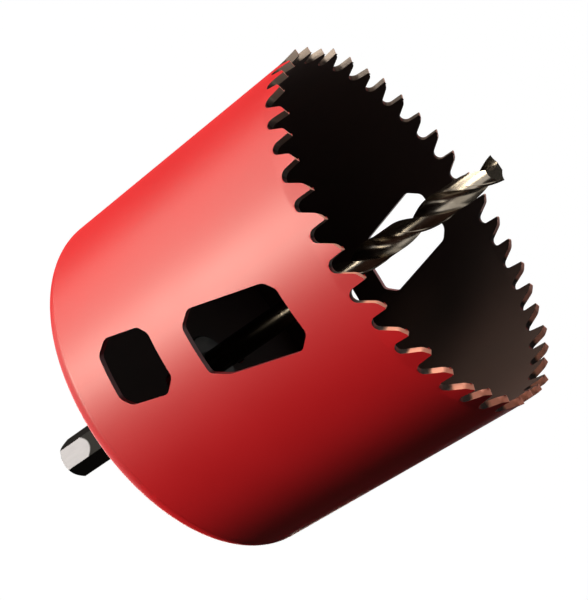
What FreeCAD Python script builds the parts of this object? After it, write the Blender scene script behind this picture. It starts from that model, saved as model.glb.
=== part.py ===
import FreeCAD, Part
import os
from math import cos, degrees, pi, radians, sin, sqrt, tan

# A hole saw: a cup of rolled steel with a toothed rim, on an arbor that carries a pilot drill.
# Sizes are in millimetres. +Z runs along the tool's axis, from the shank to the drill's point.
# The origin is the centre of the shank's end face, where a chuck takes hold of the tool.

V = FreeCAD.Vector
AXIS = V(0, 0, 1)
ORIGIN = V(0, 0, 0)

# Cup wall
CUT_DIAMETER = 92.0         # circle that the outermost tooth points sweep
CUP_DEPTH = 75.0            # back face of the cap to the tooth points
WALL = 1.5                  # thickness of the rolled strip
# Teeth
TOOTH_COUNT = 42
TOOTH_TURN = 2.2            # degrees from +X to the first tooth point
TOOTH_HEIGHT = 4.4          # tooth point to the bottom of the gullet
TOOTH_LAND = 0.3            # width of the blunt strip along a tooth point
TOOTH_SET = 0.5             # how far a set tooth leans in or out at its point
RAKE_LEAN = 2.0             # degrees that the cutting face leans back
RELIEF_ANGLE = 26.0         # degrees of the slope just behind the point
RELIEF_RUN = 1.6            # length of that slope along the rim
BACK_ANGLE = 57.0           # degrees of the steeper slope down to the gullet
# Levering slots: a short and a long one up the wall, with solid bands behind, between and before them
REAR_BAND = 13.35           # back face of the cap to the short slot
SHORT_SLOT_LENGTH = 14.1
MIDDLE_BAND = 8.05
FRONT_BAND = 11.9           # long slot to the bottom of the gullets
SLOT_WIDTH = 15.7
SLOT_LEAN = 14.3            # degrees that a slot's sides lean from the axis
SLOT_TURN = -90.0           # degrees from +X to the middle of the first long slot
FAR_SLOT_RISE = 3.0         # how much nearer to the teeth the opposite pair sits
SHARP_CORNER_CUT = 3.3      # leg of the chamfer on a slot's two sharp corners
BLUNT_CORNER_CUT = 2.0      # leg of the chamfer on its two blunt corners
LONG_REAR_CUT_UP = 4.1      # the long slot's rear blunt corner is cut further up its side
LONG_REAR_CUT_ACROSS = 1.5
SLOT_CORNER_ROUND = 0.8
# Cap
CAP_FLANGE = 4.5            # thickness of the cap outside the wall, and the rounding of its rear edge
CAP_SPIGOT = 2.0            # height of the step that the wall sits around
CAP_ROUND_FACETS = 3        # bevels that make up the rounding
CAP_PIN_HOLES = 4
PIN_CIRCLE = 30.0           # diameter of the circle of drive-pin holes
PIN_DIAMETER = 6.2
PIN_CLEARANCE = 0.2         # each side of a drive pin in its hole
# Arbor
SHANK_FLATS = 9.525         # across the flats of the hexagonal shank
SHANK_LENGTH = 17.0
SHANK_TURN = 18.8           # degrees from +X to the middle of a flat
SHANK_CHAMFER = 0.9
BODY_DIAMETER = 19.05
BODY_FLATS = 16.5           # across the two flats that the drive plate slides on
BODY_LENGTH = 27.0
NOSE_DIAMETER = 15.875
NOSE_PAST_CAP = 2.5         # how far the threaded nose stands inside the cup
BORE_CLEARANCE = 0.05       # each side of the drill in the arbor
BORE_DEPTH_SPARE = 1.0      # free depth below the drill's end
# Drive plate, pins, nut and snap ring
PLATE_DIAMETER = 44.0
PLATE_THICKNESS = 8.0
PLATE_CHAMFER = 1.0         # on its rear rim
PLATE_CLEARANCE = 0.1       # each side of the arbor's body in the plate
PIN_REACH = 5.5             # how far the pins stand into the cap
NUT_FLATS = 28.575
NUT_THICKNESS = 9.0
NUT_TURN = 30.0             # degrees from +X to the middle of a flat
NUT_CORNER_SLOPE = 30.0
RING_THICKNESS = 1.2
RING_WIDTH = 1.5            # width of the snap ring's flat band
RING_GROOVE_DEPTH = 0.6
RING_FROM_REAR = 1.7        # rear face of the body to the middle of the ring's groove
RING_OPENING = 30.0         # degrees left open between the ring's ends
# Set screw
SCREW_DIAMETER = 5.0
SCREW_FROM_REAR = 5.8       # rear face of the body to the screw's axis
SCREW_BELOW_FLAT = 0.4
SCREW_SOCKET_FLATS = 2.5
SCREW_SOCKET_DEPTH = 2.2
# Pilot drill
DRILL_DIAMETER = 6.35
DRILL_PAST_TEETH = 20.5     # tooth points to the drill's point
DRILL_PAST_SCREW = 3.5      # screw's axis to the drill's rear end
DRILL_FLAT_DEPTH = 0.4      # flat that the set screw bears on
DRILL_FLAT_LENGTH = 6.0
FLUTE_LENGTH = 62.0
FLUTE_LEAD = 37.0           # length of one full turn of a flute
FLUTE_TURN = 100.0          # degrees from +X to the middle of a land at the drill's point
FLUTE_STEPS = 26            # turned steps from the flutes' start to the point
FLUTE_RUNOUT = 7.0          # length over which the flutes fade into the round shank
LAND_HALF_ANGLE = 38.0
LAND_RELIEF = 0.18          # how much lower a land's heel is than its cutting edge
FLUTE_FACETS = 4            # flats that make up one flute
WEB = 1.3                   # thickness left between the two flutes
WEB_LEAN = 8.0
POINT_SLOPE = 0.79          # rise of the point's two facets over their run
POINT_TURN = -10.0          # degrees from a land's middle to the steepest way down its facet

# Places along the axis and radii that several pieces share
BACK = SHANK_LENGTH + BODY_LENGTH
RIM = BACK + CUP_DEPTH
TOOTH_FOOT = RIM - TOOTH_HEIGHT
SHORT_SLOT_HEIGHT = BACK + REAR_BAND + SHORT_SLOT_LENGTH / 2
LONG_SLOT_START = BACK + REAR_BAND + SHORT_SLOT_LENGTH + MIDDLE_BAND
LONG_SLOT_LENGTH = TOOTH_FOOT - FRONT_BAND - LONG_SLOT_START
LONG_SLOT_HEIGHT = LONG_SLOT_START + LONG_SLOT_LENGTH / 2
CAP_INNER = BACK + CAP_FLANGE + CAP_SPIGOT
WALL_BACK = BACK + CAP_FLANGE
WALL_OUTER = CUT_DIAMETER / 2 - TOOTH_SET
WALL_INNER = WALL_OUTER - WALL
PIN_RADIUS = PIN_DIAMETER / 2
PLATE_BACK = BACK - PLATE_THICKNESS
NUT_BACK = PLATE_BACK - NUT_THICKNESS
NOSE_END = CAP_INNER + NOSE_PAST_CAP
SCREW_HEIGHT = SHANK_LENGTH + SCREW_FROM_REAR
DRILL_RADIUS = DRILL_DIAMETER / 2
DRILL_END = SCREW_HEIGHT - DRILL_PAST_SCREW
DRILL_TIP = RIM + DRILL_PAST_TEETH
SCREW_SEAT = DRILL_RADIUS - DRILL_FLAT_DEPTH


def polar(radius, angle, z=0.0):
    """A point at a radius and an angle in degrees about the axis."""
    return V(radius * cos(radians(angle)), radius * sin(radians(angle)), z)


def turned(shape, angle):
    """A copy of the shape turned about the tool's axis."""
    copy = shape.copy()
    copy.rotate(ORIGIN, AXIS, angle)
    return copy


def closed_face(points):
    """A flat face with straight sides through the points."""
    return Part.Face(Part.makePolygon(points + points[:1]))


def revolved(outline, sweep=360.0):
    """Turn an outline of (radius, height) points about the tool's axis."""
    return closed_face([V(r, 0, z) for r, z in outline]).revolve(ORIGIN, AXIS, sweep)


def cylinder(radius, bottom, top):
    return Part.makeCylinder(radius, top - bottom, V(0, 0, bottom))


def side_cylinder(inner, outer):
    """A cylinder of the set screw's size along +Y, at the screw's height."""
    return Part.makeCylinder(SCREW_DIAMETER / 2, outer - inner, V(0, inner, SCREW_HEIGHT), V(0, 1, 0))


def hexagon(flats, bottom, top, turn=0.0):
    """A six-sided bar with the middle of one flat at the angle turn."""
    corner = flats / sqrt(3)
    points = [polar(corner, turn + 30 + 60 * k, bottom) for k in range(6)]
    return closed_face(points).extrude(V(0, 0, top - bottom))


def tooth_outline():
    """Side view of one tooth: points along the rim and up, about the middle of its land."""
    pitch = 2 * pi * (WALL_OUTER - WALL / 2) / TOOTH_COUNT
    half_land = TOOTH_LAND / 2
    rake = radians(RAKE_LEAN)
    back = radians(BACK_ANGLE)
    heel_y = pitch - half_land - RELIEF_RUN
    heel_z = -RELIEF_RUN * tan(radians(RELIEF_ANGLE))
    # The gullet's circle touches the cutting face, the next tooth's back and the tooth's full depth.
    # Along the rim its middle is start_y + per_radius * radius.
    per_radius = (1 - sin(rake)) / cos(rake)
    start_y = half_land + TOOTH_HEIGHT * tan(rake)
    spare = (heel_y - start_y) * sin(back) - (TOOTH_HEIGHT + heel_z) * cos(back)
    radius = spare / (1 + per_radius * sin(back) - cos(back))
    # Two flats that touch the circle stand for the round bottom, and the second is level.
    level = 3 * pi / 2
    touching = [pi + rake, (pi + rake + level) / 2, level, level + back]
    gullet = []
    for low, high in zip(touching, touching[1:]):
        corner = radius / cos((high - low) / 2)
        y = start_y + per_radius * radius + corner * cos((low + high) / 2)
        gullet.append((y, radius - TOOTH_HEIGHT + corner * sin((low + high) / 2)))
    behind = [(y - pitch, z) for y, z in [(heel_y, heel_z), gullet[2]]]
    return [gullet[1], gullet[0], (half_land, 0), (-half_land, 0)] + behind


def tooth(lean):
    """One tooth at +X: a piece of rim whose section leans in or out, cut to the side view."""
    pitch = 360 / TOOTH_COUNT
    section = [(WALL_INNER, TOOTH_FOOT), (WALL_OUTER, TOOTH_FOOT)]
    section += [(WALL_OUTER + lean, RIM), (WALL_INNER + lean, RIM)]
    blank = turned(revolved(section, 2 * pitch), -pitch)
    start = WALL_INNER - 2 * TOOTH_SET
    side = closed_face([V(start, y, RIM + z) for y, z in tooth_outline()])
    return blank.common(side.extrude(V(WALL + 4 * TOOTH_SET, 0, 0)))


def slot_corner(half_length, sideways, up, cut_across, cut_up):
    """The two ends of a corner's chamfer: on the slot's leaning side, then on its end."""
    lean = radians(SLOT_LEAN)
    on_side = half_length - cut_up * cos(lean)
    end_middle = up * half_length * tan(lean)
    return [
        V(0, sideways * SLOT_WIDTH / 2 + up * on_side * tan(lean), up * on_side),
        V(0, sideways * (SLOT_WIDTH / 2 - cut_across) + end_middle, up * half_length),
    ]


def slot_cutter(length, rear_across=BLUNT_CORNER_CUT, rear_up=BLUNT_CORNER_CUT):
    """A leaning slot with cut-off, slightly rounded corners, at +X and centred on height 0."""
    half = length / 2
    points = slot_corner(half, -1, 1, BLUNT_CORNER_CUT, BLUNT_CORNER_CUT)
    points += reversed(slot_corner(half, 1, 1, SHARP_CORNER_CUT, SHARP_CORNER_CUT))
    points += slot_corner(half, 1, -1, rear_across, rear_up)
    points += reversed(slot_corner(half, -1, -1, SHARP_CORNER_CUT, SHARP_CORNER_CUT))
    prism = closed_face(points).extrude(V(CUT_DIAMETER / 2, 0, 0))
    through = [edge for edge in prism.Edges if abs(edge.tangentAt(edge.FirstParameter).x) > 0.9]
    prism = prism.makeFillet(SLOT_CORNER_ROUND, through)
    prism.translate(V(WALL_INNER / 2, 0, 0))
    return prism


def slot_pair(rise, turn):
    """Cutters of one row: the short slot stands back along the long slot's leaning line."""
    long_slot = slot_cutter(LONG_SLOT_LENGTH, LONG_REAR_CUT_ACROSS, LONG_REAR_CUT_UP)
    long_slot.translate(V(0, 0, LONG_SLOT_HEIGHT))
    drift = (SHORT_SLOT_HEIGHT - LONG_SLOT_HEIGHT) * tan(radians(SLOT_LEAN))
    short_slot = turned(slot_cutter(SHORT_SLOT_LENGTH), degrees(drift / WALL_OUTER))
    short_slot.translate(V(0, 0, SHORT_SLOT_HEIGHT))
    pair = Part.makeCompound([long_slot, short_slot])
    pair.translate(V(0, 0, rise))
    return turned(pair, turn)


def cup_wall():
    """Rolled strip with a toothed rim: straight teeth, and teeth that lean out and in by turns."""
    wall = cylinder(WALL_OUTER, WALL_BACK, TOOTH_FOOT).cut(cylinder(WALL_INNER, WALL_BACK, RIM))
    kinds = [tooth(0), tooth(TOOTH_SET), tooth(-TOOTH_SET)]
    teeth = []
    for k in range(TOOTH_COUNT):
        teeth.append(turned(kinds[k % len(kinds)], TOOTH_TURN + k * 360 / TOOTH_COUNT))
    slots = [slot_pair(0, SLOT_TURN), slot_pair(FAR_SLOT_RISE, SLOT_TURN + 180)]
    return wall.multiFuse(teeth).removeSplitter().cut(slots)


def cup_cap():
    """The back plate: a flange flush with the wall, a step inside it and a threaded middle hole."""
    bore = NOSE_DIAMETER / 2
    outline = [(WALL_INNER, WALL_BACK), (WALL_INNER, CAP_INNER), (bore, CAP_INNER), (bore, BACK)]
    for k in range(CAP_ROUND_FACETS + 1):
        angle = k * pi / 2 / CAP_ROUND_FACETS
        outline.append((WALL_OUTER - CAP_FLANGE * (1 - sin(angle)), BACK + CAP_FLANGE * (1 - cos(angle))))
    cap = revolved(outline)
    hole = cylinder(PIN_RADIUS + PIN_CLEARANCE, BACK - 1, CAP_INNER + 1)
    hole.translate(V(PIN_CIRCLE / 2, 0, 0))
    return cap.cut([turned(hole, k * 360 / CAP_PIN_HOLES) for k in range(CAP_PIN_HOLES)])


def arbor_body():
    """Hexagonal shank, body with two flats, and threaded nose, bored for the drill."""
    rear = SHANK_LENGTH
    body = BODY_DIAMETER / 2
    nose = NOSE_DIAMETER / 2
    shank = hexagon(SHANK_FLATS, 0, rear, SHANK_TURN)
    corner = SHANK_FLATS / sqrt(3)
    trim = [(0, 0), (corner - SHANK_CHAMFER, 0), (corner, SHANK_CHAMFER), (corner, rear), (0, rear)]
    shank = shank.common(revolved(trim))
    groove = rear + RING_FROM_REAR
    inside = body - RING_GROOVE_DEPTH
    ring_back = groove - RING_THICKNESS / 2
    ring_front = groove + RING_THICKNESS / 2
    outline = [(0, rear), (body, rear), (body, ring_back), (inside, ring_back)]
    outline += [(inside, ring_front), (body, ring_front), (body, BACK), (0, BACK)]
    flats = Part.makeBox(BODY_DIAMETER, BODY_FLATS, BODY_LENGTH, V(-body, -BODY_FLATS / 2, rear))
    block = revolved(outline).common(flats)
    bore = cylinder(DRILL_RADIUS + BORE_CLEARANCE, DRILL_END - BORE_DEPTH_SPARE, NOSE_END)
    screw_hole = side_cylinder(0, BODY_DIAMETER)
    return shank.multiFuse([block, cylinder(nose, BACK, NOSE_END)]).removeSplitter().cut([bore, screw_hole])


def drive_plate():
    """A round plate that slides on the body's flats, with two holes for the pins."""
    rim = PLATE_DIAMETER / 2
    c = PLATE_CHAMFER
    outline = [(0, PLATE_BACK), (rim - c, PLATE_BACK), (rim, PLATE_BACK + c)]
    outline += [(rim, BACK), (0, BACK)]
    across = BODY_DIAMETER + 2 * PLATE_CLEARANCE
    flats = BODY_FLATS + 2 * PLATE_CLEARANCE
    corner = V(-across / 2, -flats / 2, PLATE_BACK - 1)
    between_flats = Part.makeBox(across, flats, PLATE_THICKNESS + 2, corner)
    bore = cylinder(across / 2, PLATE_BACK - 1, BACK + 1).common(between_flats)
    holes = [pin_at(angle, PLATE_BACK - 1, BACK + 1) for angle in (0, 180)]
    return revolved(outline).cut([bore] + holes)


def pin_at(angle, bottom, top):
    pin = cylinder(PIN_RADIUS, bottom, top)
    pin.translate(polar(PIN_CIRCLE / 2, angle))
    return pin


def drive_pins():
    """Two pins, pressed in the drive plate, that reach into holes of the cap."""
    return Part.makeCompound([pin_at(angle, PLATE_BACK, BACK + PIN_REACH) for angle in (0, 180)])


def lock_nut():
    """A six-sided nut on the body's thread, with its rear corners bevelled."""
    corner = NUT_FLATS / sqrt(3)
    edge = NUT_FLATS / 2
    drop = (corner - edge) * tan(radians(NUT_CORNER_SLOPE))
    trim = [(0, NUT_BACK), (edge, NUT_BACK), (corner, NUT_BACK + drop)]
    trim += [(corner, PLATE_BACK), (0, PLATE_BACK)]
    nut = hexagon(NUT_FLATS, NUT_BACK, PLATE_BACK, NUT_TURN).common(revolved(trim))
    return nut.cut(cylinder(BODY_DIAMETER / 2, NUT_BACK - 1, PLATE_BACK + 1))


def retaining_ring():
    """An open snap ring in the groove behind the nut."""
    inside = BODY_DIAMETER / 2 - RING_GROOVE_DEPTH
    outside = inside + RING_WIDTH
    bottom = SHANK_LENGTH + RING_FROM_REAR - RING_THICKNESS / 2
    top = bottom + RING_THICKNESS
    band = [(inside, bottom), (outside, bottom), (outside, top), (inside, top)]
    ring = revolved(band, 360 - RING_OPENING)
    return turned(ring, RING_OPENING / 2 - 90)


def drill_set_screw():
    """A headless screw in the body's flat, whose end bears on the drill's flat."""
    end = BODY_FLATS / 2 - SCREW_BELOW_FLAT
    screw = side_cylinder(SCREW_SEAT, end)
    socket = hexagon(SCREW_SOCKET_FLATS, 0, SCREW_SOCKET_DEPTH + 1)
    socket.rotate(ORIGIN, V(1, 0, 0), -90)
    socket.translate(V(0, end - SCREW_SOCKET_DEPTH, SCREW_HEIGHT))
    return screw.cut(socket)


def flute_section(z, turn):
    """Corners of the drill's section: two lands, and two hollow flutes between them."""
    low = DRILL_RADIUS - LAND_RELIEF
    corners = []
    for at in (turn, turn + 180):
        corners += [polar(low, at - LAND_HALF_ANGLE, z), polar(low, at, z)]
        lip = polar(DRILL_RADIUS, at + LAND_HALF_ANGLE, z)
        next_heel = polar(low, at + 180 - LAND_HALF_ANGLE, z)
        hollow = Part.Arc(lip, polar(WEB / 2, at + 90 + WEB_LEAN, z), next_heel)
        span = (hollow.LastParameter - hollow.FirstParameter) / FLUTE_FACETS
        corners += [hollow.value(hollow.FirstParameter + k * span) for k in range(FLUTE_FACETS)]
    return corners


def fluted_length():
    """The section repeated up the axis in right-hand steps, skinned with flat triangles."""
    bottom = DRILL_TIP - FLUTE_LENGTH
    rows = []
    for k in range(FLUTE_STEPS + 1):
        up = FLUTE_LENGTH * k / FLUTE_STEPS
        rows.append(flute_section(bottom + up, FLUTE_TURN + 360 * (up - FLUTE_LENGTH) / FLUTE_LEAD))
    skin = [closed_face(rows[0]), closed_face(rows[-1])]
    for low, high in zip(rows, rows[1:]):
        for i in range(len(low)):
            skin.append(closed_face([low[i - 1], low[i], high[i]]))
            skin.append(closed_face([low[i - 1], high[i], high[i - 1]]))
    return Part.Solid(Part.makeShell(skin))


def drill_point():
    """A roof over the drill: two sloping facets that meet in the chisel edge."""
    reach = DRILL_DIAMETER
    drop = POINT_SLOPE * reach
    points = [V(-reach, -reach, DRILL_END), V(reach, -reach, DRILL_END)]
    points += [V(reach, -reach, DRILL_TIP - drop)]
    points += [V(0, -reach, DRILL_TIP), V(-reach, -reach, DRILL_TIP - drop)]
    roof = closed_face(points).extrude(V(0, 2 * reach, 0))
    return turned(roof, FLUTE_TURN + POINT_TURN)


def pilot_drill():
    flute_start = DRILL_TIP - FLUTE_LENGTH
    shank = cylinder(DRILL_RADIUS, DRILL_END, flute_start)
    fade = Part.makeCone(DRILL_RADIUS, WEB / 2, FLUTE_RUNOUT, V(0, 0, flute_start))
    drill = fluted_length().fuse([shank, fade]).common(drill_point())
    flat = Part.makeBox(DRILL_DIAMETER, DRILL_FLAT_DEPTH, DRILL_FLAT_LENGTH,
                        V(-DRILL_RADIUS, SCREW_SEAT, SCREW_HEIGHT - DRILL_FLAT_LENGTH / 2))
    return drill.cut(flat)


PIECES = [cup_wall, cup_cap, arbor_body, drive_plate, drive_pins, lock_nut, retaining_ring, drill_set_screw,
          pilot_drill]

os.makedirs("parts", exist_ok=True)
for piece in PIECES:
    shape = piece()
    solids = len(shape.Solids)
    print(piece.__name__, "valid", shape.isValid(), "solids", solids, "volume", round(shape.Volume, 1))
    shape.exportStep("parts/" + piece.__name__ + ".step")
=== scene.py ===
# %% [markdown]
# # A hole saw
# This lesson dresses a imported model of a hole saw: a red cup with a toothed rim, two pairs of levering
# slots, and a pilot drill on an arbor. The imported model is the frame. It says where each piece is, and
# it can't be bent or moved, so every new piece is made in the same place and at the same size.

# %% Load the frame
import math
import bpy
import bmesh
from mathutils import Matrix, Vector


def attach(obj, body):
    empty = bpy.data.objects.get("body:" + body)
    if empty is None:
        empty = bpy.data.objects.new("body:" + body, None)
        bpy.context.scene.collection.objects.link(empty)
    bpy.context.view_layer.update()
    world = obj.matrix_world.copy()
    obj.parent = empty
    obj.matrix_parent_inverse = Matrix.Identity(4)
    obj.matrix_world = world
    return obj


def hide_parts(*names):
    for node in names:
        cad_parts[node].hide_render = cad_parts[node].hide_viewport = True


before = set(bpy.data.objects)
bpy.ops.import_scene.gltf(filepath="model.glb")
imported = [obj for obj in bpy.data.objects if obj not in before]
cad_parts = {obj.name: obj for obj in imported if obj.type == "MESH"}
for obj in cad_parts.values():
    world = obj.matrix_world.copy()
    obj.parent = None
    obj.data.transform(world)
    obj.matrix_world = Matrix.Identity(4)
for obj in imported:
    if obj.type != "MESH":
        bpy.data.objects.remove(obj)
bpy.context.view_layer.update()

print("pieces in the frame:", sorted(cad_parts))

# %% [markdown]
# ## Sizes
# The real tool is measured in millimetres and Blender works in metres, so every size is written in
# millimetres and turned into metres by one factor. The names match the places on the real tool: the back
# of the cap, the front of the cap inside the cup, and the rim where the tooth points are.

# %% Sizes of the cup
MM = 0.001
BACK = 44.0
CAP_FLANGE = 4.5
CAP_FRONT = 50.5
WALL_BACK = BACK + CAP_FLANGE
RIM = 119.0
OUTER = 45.5
INNER = 44.0
ROUND_STEPS = 336

print("wall height in mm:", RIM - WALL_BACK)

# %% [markdown]
# ## Helpers for modelling
# An operator acts on everything that is selected, so each step starts by selecting only its own piece.
# An outline is drawn as by hand: a plane is merged to one point, and the point is extruded along the line.
# Closed and filled, the outline can be pushed out to a bar. Left open, it can be turned about the axis.


# %% Selecting and drawing
def only(piece):
    """Select one piece and nothing else."""
    bpy.ops.object.select_all(action="DESELECT")
    piece.select_set(True)
    bpy.context.view_layer.objects.active = piece


def draw_outline(name, points, fill=True):
    """Draw a closed line through points in millimetres, and fill it with one face."""
    bpy.ops.object.select_all(action="DESELECT")
    bpy.ops.mesh.primitive_plane_add(size=MM, location=Vector(points[0]) * MM)
    piece = bpy.context.object
    piece.name = name
    bpy.ops.object.transform_apply(location=True)
    bpy.ops.object.mode_set(mode="EDIT")
    bpy.ops.mesh.select_mode(type="VERT")
    bpy.ops.mesh.select_all(action="SELECT")
    bpy.ops.mesh.merge(type="CENTER")
    for here, there in zip(points, points[1:]):
        step = (Vector(there) - Vector(here)) * MM
        bpy.ops.mesh.extrude_region_move(TRANSFORM_OT_translate={"value": step})
    bpy.ops.mesh.select_all(action="SELECT")
    bpy.ops.mesh.edge_face_add()
    if not fill:
        bpy.ops.mesh.delete(type="ONLY_FACE")
    bpy.ops.object.mode_set(mode="OBJECT")
    return piece


def push_out(piece, way):
    """Extrude the whole drawn face to a bar, along a way in millimetres."""
    only(piece)
    bpy.ops.object.mode_set(mode="EDIT")
    bpy.ops.mesh.select_all(action="SELECT")
    bpy.ops.mesh.extrude_region_move(TRANSFORM_OT_translate={"value": Vector(way) * MM})
    bpy.ops.mesh.select_all(action="SELECT")
    bpy.ops.mesh.normals_make_consistent(inside=False)
    bpy.ops.object.mode_set(mode="OBJECT")


def arc(middle, radius, start, end, steps):
    """Points in two directions along an arc, with angles in radians."""
    angles = [start + (end - start) * k / steps for k in range(steps + 1)]
    return [(middle[0] + radius * math.cos(a), middle[1] + radius * math.sin(a)) for a in angles]


def rod(radius, bottom, top, sides, x=0.0, y=0.0, ends="NGON"):
    """An upright round bar between two heights, or a tube without ends."""
    bpy.ops.object.select_all(action="DESELECT")
    bpy.ops.mesh.primitive_cylinder_add(vertices=sides, radius=radius * MM, depth=(top - bottom) * MM,
                                        end_fill_type=ends,
                                        location=(x * MM, y * MM, (top + bottom) / 2 * MM))
    piece = bpy.context.object
    bpy.ops.object.transform_apply(location=True)
    return piece


# %% [markdown]
# A shape that repeats is modelled once and copied, each copy with its own mesh. Copies are joined before
# they are cut away, because one cut is much quicker than forty. A modifier is applied at once, so that
# the next step finds a plain mesh.


# %% Copies and modifiers
def turned_copy(piece, degrees, up=0.0):
    """A copy with its own mesh, turned about the tool's axis and moved up it."""
    only(piece)
    bpy.ops.object.duplicate(linked=False)
    copy = bpy.context.object
    copy.rotation_euler.z = math.radians(degrees)
    copy.location.z = up * MM
    bpy.ops.object.transform_apply(location=True, rotation=True)
    return copy


def joined(pieces, name):
    """Several meshes as one."""
    only(pieces[0])
    for piece in pieces:
        piece.select_set(True)
    bpy.ops.object.join()
    pieces[0].name = name
    return pieces[0]


def applied(piece, kind, **settings):
    """Add a modifier, set it up and apply it."""
    only(piece)
    modifier = piece.modifiers.new(kind.lower(), kind)
    for key, value in settings.items():
        setattr(modifier, key, value)
    bpy.ops.object.modifier_apply(modifier=modifier.name)


def combined(piece, other, operation):
    """Join, cut or intersect two closed meshes, and throw the second away."""
    applied(piece, "BOOLEAN", object=other, operation=operation, solver="EXACT")
    bpy.data.objects.remove(other, do_unlink=True)


# %% [markdown]
# A real edge is never perfectly sharp, and a small bevel there catches the light. The cuts can leave
# points that lie on each other, and they would hold the bevel back, so they are merged before it and
# after it. Curved faces are then shaded smooth, and the piece is handed to the frame: the body it
# rides on, and the plain piece that it takes the place of.

# %% Finishing a piece
EDGE_ROUND = 0.12
MERGE_DISTANCE = 0.001
SLIVER = 0.0005


def cleaned(piece):
    """Merge the points that lie on each other, and close the gap that a lost sliver leaves."""
    only(piece)
    bpy.ops.object.mode_set(mode="EDIT")
    bpy.ops.mesh.select_all(action="SELECT")
    bpy.ops.mesh.remove_doubles(threshold=MERGE_DISTANCE * MM)
    bpy.ops.mesh.dissolve_degenerate(threshold=SLIVER * MM)
    bpy.ops.mesh.select_all(action="SELECT")
    bpy.ops.mesh.fill_holes(sides=0)
    bpy.ops.object.mode_set(mode="OBJECT")


def rounded(piece, edge, smooth):
    """Round the sharp edges a little, as the edges of every real part are."""
    applied(piece, "BEVEL", width=edge * MM, segments=2, limit_method="ANGLE",
            angle_limit=math.radians(smooth), use_clamp_overlap=True)
    cleaned(piece)


def finished(piece, replaced, edge=EDGE_ROUND, smooth=32.0):
    """Round the edges, shade the curved faces smooth, and hand the piece to the frame."""
    cleaned(piece)
    if edge:
        rounded(piece, edge, smooth)
    only(piece)
    bpy.ops.object.shade_smooth_by_angle(angle=math.radians(smooth))
    applied(piece, "WEIGHTED_NORMAL", mode="FACE_AREA", weight=80, keep_sharp=True)
    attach(piece, "root")
    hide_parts(*replaced)
    print(piece.name, "triangles:", sum(len(face.vertices) - 2 for face in piece.data.polygons))


# %% [markdown]
# ## The toothed wall
# The wall is a strip of steel rolled to a tube, with saw teeth cut along one edge. It could be made flat
# and bent round, but a tube that is cut keeps its wall exactly round. So a thin tube gets its thickness
# from Solidify, and one bar with the outline of a tooth gap is copied all the way round and cut away.

# %% The tube
wall = rod(OUTER, WALL_BACK, RIM, ROUND_STEPS, ends="NOTHING")
wall.name = "red_cup_wall"
applied(wall, "SOLIDIFY", thickness=(OUTER - INNER) * MM, offset=-1.0)
print("tube faces:", len(wall.data.polygons))

# %% [markdown]
# The gap between two points has a steep cutting face, a round bottom called the gullet, a sloping back,
# and a short slope just behind the next point. The circle of the gullet touches both faces beside it.

# %% The tooth gaps
TOOTH_COUNT = 42
TOOTH_TURN = 2.2
TOOTH_HEIGHT = 4.4
TOOTH_LAND = 0.3
RAKE_LEAN = math.radians(2.0)
RELIEF_ANGLE = math.radians(26.0)
RELIEF_RUN = 1.6
BACK_ANGLE = math.radians(57.0)
HEEL_ROUND = 2.2
GULLET_STEPS = 14
HEEL_STEPS = 4
GAP_START = INNER - 0.4
GAP_DEPTH = 4.0
ABOVE_RIM = 2


def gap_outline():
    """Points (along the rim, up) round one gap, from a tooth's point to the next tooth's point."""
    pitch = math.tau * (OUTER + INNER) / 2 / TOOTH_COUNT
    half_land = TOOTH_LAND / 2
    heel_y = pitch - half_land - RELIEF_RUN
    heel_z = -RELIEF_RUN * math.tan(RELIEF_ANGLE)
    per_radius = (1 - math.sin(RAKE_LEAN)) / math.cos(RAKE_LEAN)
    start_y = half_land + TOOTH_HEIGHT * math.tan(RAKE_LEAN)
    spare = (heel_y - start_y) * math.sin(BACK_ANGLE) - (TOOTH_HEIGHT + heel_z) * math.cos(BACK_ANGLE)
    radius = spare / (1 + per_radius * math.sin(BACK_ANGLE) - math.cos(BACK_ANGLE))
    middle = (start_y + per_radius * radius, radius - TOOTH_HEIGHT)
    points = [(pitch - half_land, 0), (pitch - half_land, ABOVE_RIM), (half_land, ABOVE_RIM), (half_land, 0)]
    points += arc(middle, radius, math.pi + RAKE_LEAN, math.pi * 1.5 + BACK_ANGLE, GULLET_STEPS)
    # The heel is a convex arc that touches the back and the relief slope.
    bend = (BACK_ANGLE - RELIEF_ANGLE) / 2
    way = math.pi / 2 + (BACK_ANGLE + RELIEF_ANGLE) / 2
    out = HEEL_ROUND / math.cos(bend)
    heel_middle = (heel_y - out * math.cos(way), heel_z - out * math.sin(way))
    return points + arc(heel_middle, HEEL_ROUND, way + bend, way - bend, HEEL_STEPS)


gap = draw_outline("gap", [(GAP_START, y, RIM + z) for y, z in gap_outline()])
push_out(gap, (GAP_DEPTH, 0, 0))
gaps = [turned_copy(gap, TOOTH_TURN + k * 360 / TOOTH_COUNT) for k in range(TOOTH_COUNT)]
bpy.data.objects.remove(gap, do_unlink=True)
combined(wall, joined(gaps, "gaps"), "DIFFERENCE")
print("faces after the gaps:", len(wall.data.polygons))

# %% [markdown]
# Each slot lets a screwdriver lever the cut plug out of the cup. Its sides lean, its corners are cut off,
# and every corner is slightly round. The far pair of slots is the near pair turned by half a turn, and it
# stands a little higher.

# %% The levering slots
SLOT_WIDTH = 15.7
SLOT_LEAN = math.tan(math.radians(14.3))
SLOT_SIDE = math.cos(math.radians(14.3))
LONG_SLOT = (91.1, 23.2)
SHORT_SLOT = (64.4, 14.1)
FAR_RISE = 3.0
SHARP_CUT = (3.3, 3.3)
BLUNT_CUT = (2.0, 2.0)
LONG_REAR_CUT = (1.5, 4.1)
SLOT_BAR_START = INNER - 6
SLOT_BAR_LENGTH = 12.0
SLOT_ROUND = 0.8


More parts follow.
